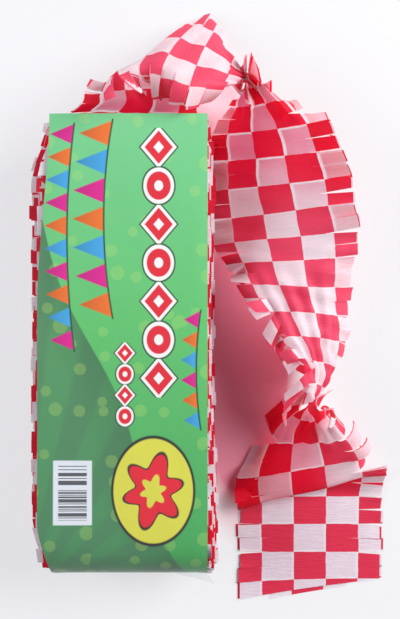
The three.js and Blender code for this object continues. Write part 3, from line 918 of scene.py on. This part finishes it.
def makeFilm():
    f = Finish("printed_film_face")
    x, y = f.uv("label")
    smooth = label["smooth"]

    def paint(picture, mask, colour):
        return f.mix(mask.held(), picture, colour)

    down = ((label["top"] - y) / label["length"]).held()
    greens = ((0.0, label["lightGreen"]), (label["midGreenAt"], label["midGreen"]), (1.0, label["lowGreen"]))
    picture = f.field("ShaderNodeValToRGB", {"stops": greens}, {0: down})
    # a darker hill over the left and the lower part, with soft rays in it
    rayX, rayY, rayCount, raySharp = label["rays"]
    turn = (x - rayX).maths("ARCTAN2", y - rayY)
    rays = ((turn * rayCount).sin() * raySharp + 0.5).held()
    left, top, slope, often, far = label["hill"]
    hill = x - left - (top - y) * slope + (y * often).sin() * far
    onHill = hill.inside(0.0, label["hillEdge"])
    rimWidth, rimShare = label["rim"]
    rim = (1.0 - abs(hill) / rimWidth).held() * onHill
    plain, more = label["hillShare"]
    picture = f.mix(onHill * (rays * more + plain), picture, label["darkGreen"])
    picture = f.mix(rim * rimShare, picture, label["rimGreen"])
    # pale round lights
    scale, least, bigger, soft = label["spots"]
    spots = f.node("ShaderNodeTexVoronoi", {"voronoi_dimensions": "2D"}, {
        "Vector": f.place(x, y), "Scale": scale, "Randomness": 1.0,
    })
    pick = f.field("ShaderNodeSeparateColor", None, {0: Field(f, spots.outputs["Color"])})
    pale = Field(f, spots.outputs["Distance"]).inside(least + pick * bigger, soft)
    pale = pale * (pick > label["spotsKept"])
    picture = f.mix(pale * label["spotShare"], picture, label["spotGreen"])

    # strings along the label with three-sided flags hanging to the left
    for stringX, sag, pitch, height, firstY, lastY, offset in label["pennants"]:
        middle, span = (firstY + lastY) / 2, abs(firstY - lastY) / 2
        bowed = (y - middle) / span
        hang = stringX - sag * (1.0 - bowed * bowed) - x
        within = abs(y - middle).inside(span, smooth)
        cell = (y - lastY) / pitch
        index = cell.floor()
        half = label["flagHalf"] * pitch
        flag = (abs(cell - index - 0.5) * pitch + hang * (half / height)).inside(half, smooth)
        flag = flag * (hang > 0.0) * within
        third = (index + offset) % 3.0
        shade = 1.0 - label["flagDarker"] * (hang / height).held()
        colour = f.mix(third > 0.5, label["orange"], label["magenta"])
        colour = f.mix(third > 1.5, colour, label["blue"])
        dark = f.field("ShaderNodeCombineColor", None, {0: shade, 1: shade, 2: shade})
        picture = paint(picture, flag, f.mix(1.0, colour, dark, "MULTIPLY"))
        picture = paint(picture, abs(hang).inside(label["cordHalf"], smooth) * within, label["outline"])

    # rows of diamonds and rings by turns
    for centreX, halfX, pitch, firstY, count, edgeWhite, edgeDark in label["lozenges"]:
        cell = (firstY - y) / pitch
        index = cell.floor()
        within = (cell > 0.0) * (cell < float(count))
        halfY = pitch * 0.5 - edgeWhite * 0.4
        px, py = (x - centreX) / halfX, (cell - index - 0.5) * pitch / halfY
        diamond = abs(px) + abs(py)
        disc = radius(px, py) * label["ringSmaller"]
        odd = index % 2.0
        shape = diamond * (1.0 - odd) + disc * odd
        scale = 1.0 / halfX
        edges = ((1.0 + (edgeWhite + edgeDark) * scale, "outline"), (1.0 + edgeWhite * scale, "white"))
        for limit, colour in edges + label["lozengeFills"]:
            picture = paint(picture, shape.inside(limit, smooth * scale) * within, label[colour])

    # yellow oval with a rosette
    centreX, centreY, halfX, halfY = label["oval"]
    oval = radius((x - centreX) / halfX, (y - centreY) / halfY)
    count, deep, mean = label["petals"]
    bearing = (x - centreX).maths("ARCTAN2", y - centreY)
    rosette = oval / ((bearing * count).sin() * deep + mean)
    for limit, colour in label["ovalFills"]:
        picture = paint(picture, oval.inside(limit, label["ovalEdge"]), label[colour])
    for limit, colour in label["petalFills"]:
        picture = paint(picture, rosette.inside(limit, label["petalEdge"]), label[colour])

    # plain bar block
    bx, by = abs(x - label["bars"][0]), abs(y - label["bars"][1])
    wide, high = label["barPaper"]
    picture = paint(picture, bx.inside(wide, smooth) * by.inside(high, smooth), label["paper"])
    stripe = ((y + label["barsFrom"]) * label["barPitch"]).floor()
    stripe = f.field("ShaderNodeTexWhiteNoise", {"noise_dimensions": "1D"}, {"W": stripe})
    wide, high = label["barField"]
    bars = (stripe > 0.5) * bx.inside(wide, smooth) * by.inside(high, smooth)
    picture = paint(picture, bars * label["barShare"], label["ink"])

    waves = f.grain(x, y, wrapper["waves"])
    creases = f.grain(x, y, wrapper["creases"])
    level, swing = wrapper["roughness"]
    return f.finishWith(f.field("ShaderNodeBsdfPrincipled", None, {
        "Base Color": picture,
        "Roughness": level + (waves - 0.5) * swing,
        "Normal": f.bump(waves + creases * wrapper["creaseHeight"], *wrapper["bump"]),
        "Coat Weight": wrapper["coat"][0],
        "Coat Roughness": wrapper["coat"][1],
    }))


def makeClear():
    f = Finish("clear_film_face")
    x, y = f.uv("label")
    waves = f.grain(x, y, wrapper["clearWaves"])
    shine = f.field("ShaderNodeBsdfPrincipled", None, {
        "Base Color": f.mix(waves, *wrapper["clearTints"]),
        "Roughness": wrapper["clearRoughness"],
        "Normal": f.bump(waves, *wrapper["clearBump"]),
        "Coat Weight": wrapper["clearCoat"],
    })
    clear = f.field("ShaderNodeBsdfTransparent", None, {"Color": wrapper["clearColour"]})
    fresnel = f.field("ShaderNodeLayerWeight", None, {"Blend": wrapper["clearEdge"]})
    level, atEdge, swing = wrapper["clearShine"]
    share = (level + fresnel * atEdge + (waves - 0.5) * swing).held()
    return f.finishWith(f.blend(share, clear, shine))


filmPrinted = makeFilm()
filmClear = makeClear()
print("film finishes made")


def addGrid(faces, rows, columns):
    for row in range(rows - 1):
        for column in range(columns - 1):
            a = row * columns + column
            faces.append((a, a + columns, a + columns + 1, a + 1))


def buildFilm():
    front, back = wrapper["frontZ"], wrapper["backZ"]
    mouth, end = wrapper["mouthY"], wrapper["endY"]
    corners = [
        (mouth, front - 0.0003), (mouth - 0.02, front), (mouth - 0.06, front), (0.0, front),
        (end + 0.06, front), (end + 0.02, front), (end + 0.010, front - 0.0016),
        (end + 0.0035, front - 0.0058), (end - 0.0005, front - 0.0118), (end - 0.002, front - 0.0195),
        (end - 0.002, back + 0.016), (end - 0.001, back + 0.008), (end + 0.002, back + 0.0032),
        (end + 0.007, back + 0.00075), (end + 0.013, back), (end + 0.06, back), (0.0, back),
        (mouth - 0.06, back), (wrapper["backMouthY"], back),
    ]
    knots = np.array(corners)
    profile = []
    for i in range(len(knots) - 1):
        around = neighbours(knots, i)
        first, then = around[1:3]
        steps = max(2, int(np.linalg.norm(then - first) / wrapper["stepLength"]))
        for k in range(steps):
            t = k / steps
            profile.append(smoothValue(*around, t) if i in wrapper["rounded"] else first * (1 - t) + then * t)
    profile = np.array(profile + [knots[-1]])
    run = np.concatenate([[0], np.cumsum(np.linalg.norm(np.diff(profile, axis=0), axis=1))])
    half = wrapper["width"] / 2
    columns = wrapper["columns"]
    insetMouth, *mouthSpan = wrapper["insetMouth"]
    insetEnd, *endSpan = wrapper["insetEnd"]
    sagFrom, sag = wrapper["edgeSag"]
    points, maps, faces = [], [], []
    for i, (y, z) in enumerate(profile):
        onFront = z > wrapper["faceAbove"]
        if onFront:
            down = (mouth - y) / (mouth - end)
            inset = insetMouth * (1 - ease(down, *mouthSpan)) + insetEnd * ease(down, *endSpan)
        else:
            inset = wrapper["insetBend"] if y < end + wrapper["bendLength"] else wrapper["insetBack"]
        left = -half + inset
        for k in range(columns + 1):
            share = k / columns
            x = left + (half - left) * share + wrapper["aside"]
            lift = 0.0
            if onFront and y > end + wrapper["bendLength"]:
                # the film sags a little at its edges and puckers over the layers
                edge = max(0.0, abs(2 * share - 1) - sagFrom) / (1 - sagFrom)
                lift = wrapper["pucker"] * math.sin(y * 70 + x * 30) * math.sin(x * 60 + 1)
                lift -= sag * edge * edge
            points.append((x, y, z + lift))
            maps.append((x * 1000, (mouth - run[i]) * 1000))
    addGrid(faces, len(profile), columns + 1)
    film = makePiece("film_wrapper", points, faces, {"label": maps}, filmPrinted)
    film.data.materials.append(filmClear)
    # the print ends part of the way down the near end
    for face in film.data.polygons:
        height = sum(film.data.vertices[v].co.z for v in face.vertices) / len(face.vertices)
        if height < wrapper["printedDownTo"]:
            face.material_index = 1
    return film


def buildFilmCorner():
    # loose clear corner past the near end
    outline = [np.array((x, wrapper["endY"] + y, z)) for x, y, z in wrapper["corner"]]
    steps = wrapper["cornerSteps"]
    points, maps, faces = [], [], []
    for i in range(steps + 1):
        s = i / steps
        for k in range(steps + 1):
            t = k / steps
            weights = ((1 - s) * (1 - t), (1 - s) * t, s * t, s * (1 - t))
            x, y, z = sum(weight * corner for weight, corner in zip(weights, outline))
            points.append((x, y, z + wrapper["cornerWave"] * math.sin(3 * s + 4 * t)))
            maps.append((x * 1000, y * 1000))
    addGrid(faces, steps + 1, steps + 1)
    return makePiece("film_loose_corner", points, faces, {"label": maps}, filmClear)


film = buildFilm()
filmCorner = buildFilmCorner()
print("film made")

for piece in (upperPly, underPly, foldedStack):
    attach(piece, "root")
    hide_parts("crepe_garland")
for piece in (film, filmCorner):
    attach(piece, "root")
    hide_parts("printed_wrapper")

stage = {
    "floor": tint(247, 247, 250),
    "speck": tint(244, 244, 248),
    "speckScale": 40.0,
    "roughness": 0.9,
    "specular": 0.1,
    "reach": 8.0,
    # painted pink light on the table, where light through the plies would fall
    "glow": tint(252, 132, 168),
    "glowEdge": 2.2,
    # painted pink light and shade on the table: x, y, half sizes, strength
    "glows": ((0.070, -0.012, 0.026, 0.080, 0.8), (0.056, 0.134, 0.013, 0.022, 0.35)),
    "paler": 0.65,  # how much of it the camera sees as the floor's own colour, except in the painted glows, which stay darker
    "fadeFrom": 0.30,
    "fadeOver": 0.45,
    "air": (0.97, 0.98, 1.0, 1),
    "world": 0.12,
    "seenBy": ("Is Camera Ray", "Is Glossy Ray", "Is Transmission Ray"),
    # place, aim, size, watts, colour
    "lamps": {
        "softbox_right": ((1.0, 0.42, 0.64), (0.05, 0.02, 0.0), (0.8, 0.75), 20.0, (1.0, 0.99, 0.98)),
        "softbox_left": ((-0.85, 0.15, 0.5), (0.0, 0.02, 0.0), (0.6, 0.6), 6.4, (0.97, 0.98, 1.0)),
    },
}

photoCamera = {
    "place": (0.0435, 0.0200, 0.45),
    "frameHeight": 619,  # in pixels
    "pixelsPerMetre": 1650,  # on the table
    "clipStart": 0.01,
}


def seen(f):
    # 1 for what the camera sees, also in a gloss or through something clear
    path = f.node("ShaderNodeLightPath").outputs
    direct, *others = [Field(f, path[kind]) for kind in stage["seenBy"]]
    return sum(others, start=direct).held()


def makeFloor():
    f = Finish("plain_table")
    position = f.field("ShaderNodeNewGeometry")
    x, y = f.parts(position)
    # between the pack and the free end a pool of pink light is painted on the table, the colour of the light
    # that both plies let through, and there the floor is left darker as painted shadow, while elsewhere the
    # camera sees it paler than its light
    away, clear = 1.0, 1.0
    for atX, atY, sizeX, sizeY, strength in stage["glows"]:
        outside = ((radius((x - atX) / sizeX, (y - atY) / sizeY) - 1.0) * stage["glowEdge"]).held()
        away = away * outside
        clear = clear * (outside * strength + (1.0 - strength))
    floorColour = f.mix(f.noise(position, stage["speckScale"]), stage["floor"], stage["speck"])
    surface = f.field("ShaderNodeBsdfPrincipled", None, {
        "Base Color": f.mix(clear, stage["glow"], floorColour),
        "Roughness": stage["roughness"],
        "Specular IOR Level": stage["specular"],
    })
    glow = f.field("ShaderNodeEmission", None, {"Color": (*stage["floor"], 1), "Strength": 1.0})
    # far out it runs into the backdrop without a horizon
    far = ((radius(x, y) - stage["fadeFrom"]) / stage["fadeOver"]).held()
    share = (away * stage["paler"]).most(far)
    table = f.finishWith(f.blend(seen(f) * share, surface, glow))
    reach = stage["reach"]
    points = [(-reach, -reach, 0), (reach, -reach, 0), (reach, reach, 0), (-reach, reach, 0)]
    makePiece("table_top", points, [(0, 1, 2, 3)], {}, table)


def makeWorld():
    # lights the scene a little, and stands behind it in the floor's colour
    f = Finish("studio_air", "worlds")
    air = f.field("ShaderNodeBackground", None, {0: stage["air"], 1: stage["world"]})
    backdrop = f.field("ShaderNodeBackground", None, {0: (*stage["floor"], 1), 1: 1.0})
    bpy.context.scene.world = f.finishWith(f.blend(seen(f), air, backdrop), "World")


def addLamp(name, place, aim, size, power, colour):
    lamp = bpy.data.lights.new(name, "AREA")
    lamp.shape = "RECTANGLE"
    lamp.size, lamp.size_y = size
    lamp.energy = power
    lamp.color = colour
    made = bpy.data.objects.new(name, lamp)
    made.location = place
    made.rotation_euler = (Vector(aim) - Vector(place)).to_track_quat("-Z", "Y").to_euler()
    bpy.context.collection.objects.link(made)


makeFloor()
makeWorld()
for lampName, settings in stage["lamps"].items():
    addLamp(lampName, *settings)

camera = bpy.data.cameras.new("photo_camera")
camera.lens_unit = "FOV"
camera.sensor_fit = "VERTICAL"
halfFrame = 0.5 * photoCamera["frameHeight"] / photoCamera["pixelsPerMetre"]
camera.angle = 2 * math.atan(halfFrame / photoCamera["place"][2])
camera.clip_start = photoCamera["clipStart"]
eye = bpy.data.objects.new("photo_camera", camera)
eye.location = photoCamera["place"]
eye.rotation_euler = (0, 0, 0)
bpy.context.collection.objects.link(eye)
bpy.context.scene.camera = eye
bpy.context.scene.view_settings.view_transform = "Standard"
print("stage made")
